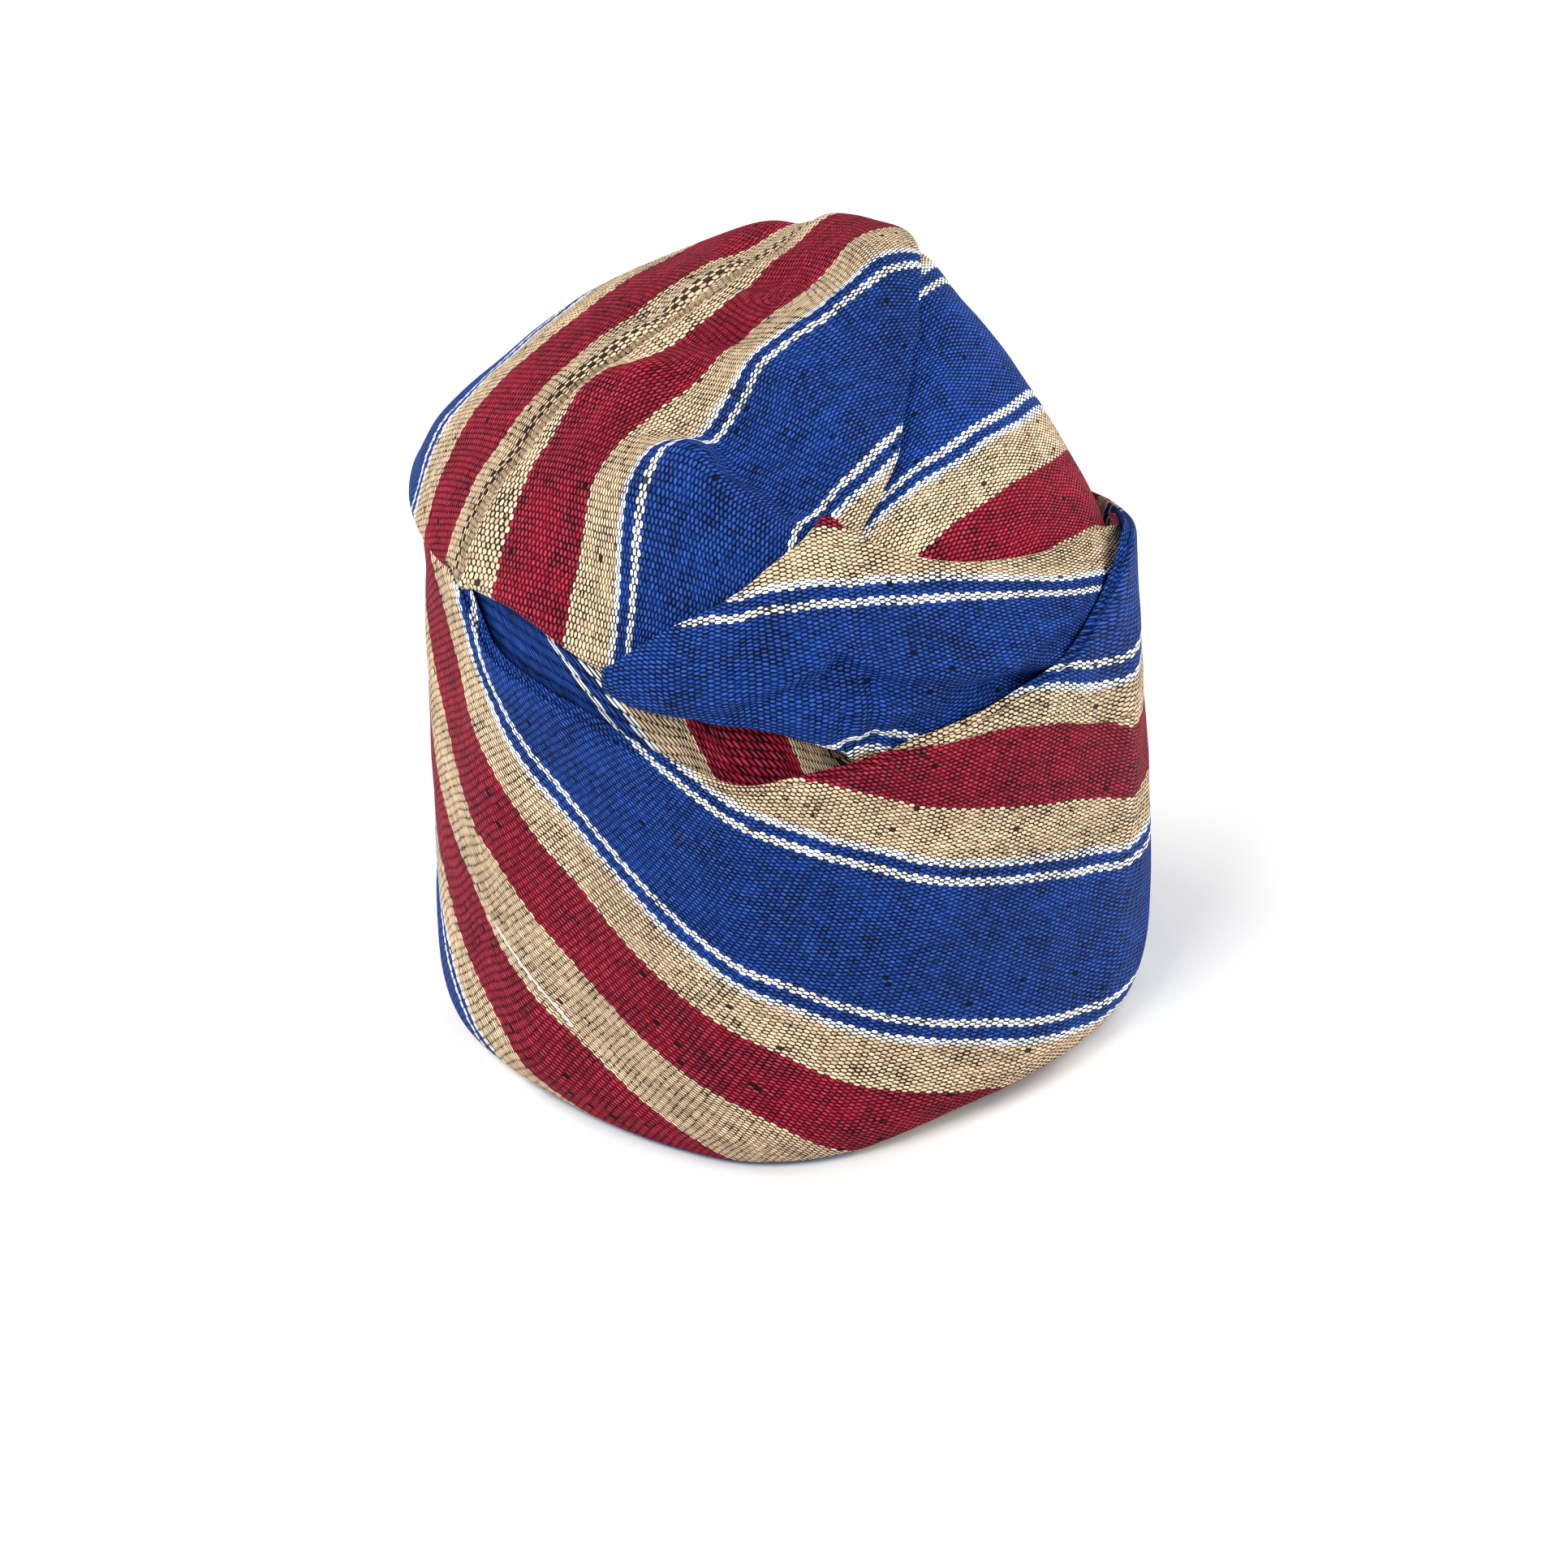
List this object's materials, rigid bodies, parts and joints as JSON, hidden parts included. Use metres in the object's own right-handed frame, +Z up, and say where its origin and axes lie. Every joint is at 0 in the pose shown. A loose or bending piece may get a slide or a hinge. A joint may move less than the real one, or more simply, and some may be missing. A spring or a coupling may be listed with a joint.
{
  "type": "turban hat",
  "caption": "Tall soft hat wound from striped cloth, with a wrapped band, a draped crown and a pointed fold across the front.",
  "frame": {"origin": "middle of the base, in the plane of the rim that the hat stands on", "axes": "+Z up through the crown, -Y towards the front with the pointed fold, +X to the side under which the fold is tucked"},
  "size_m": [0.1948, 0.205, 0.2037],
  "materials": {
    "band_cloth": "striped woven cotton, matt",
    "cap_cloth": "striped woven cotton, matt",
    "drape_cloth": "striped woven cotton, matt",
    "panel_cloth": "striped woven cotton, matt",
    "fold_cloth": "striped woven cotton, matt"
  },
  "bodies": {
    "root": {"band": "band_cloth", "inner_cap": "cap_cloth", "crown_drape": "drape_cloth", "crown_panel": "panel_cloth", "front_fold": "fold_cloth"}
  },
  "joints": []
}
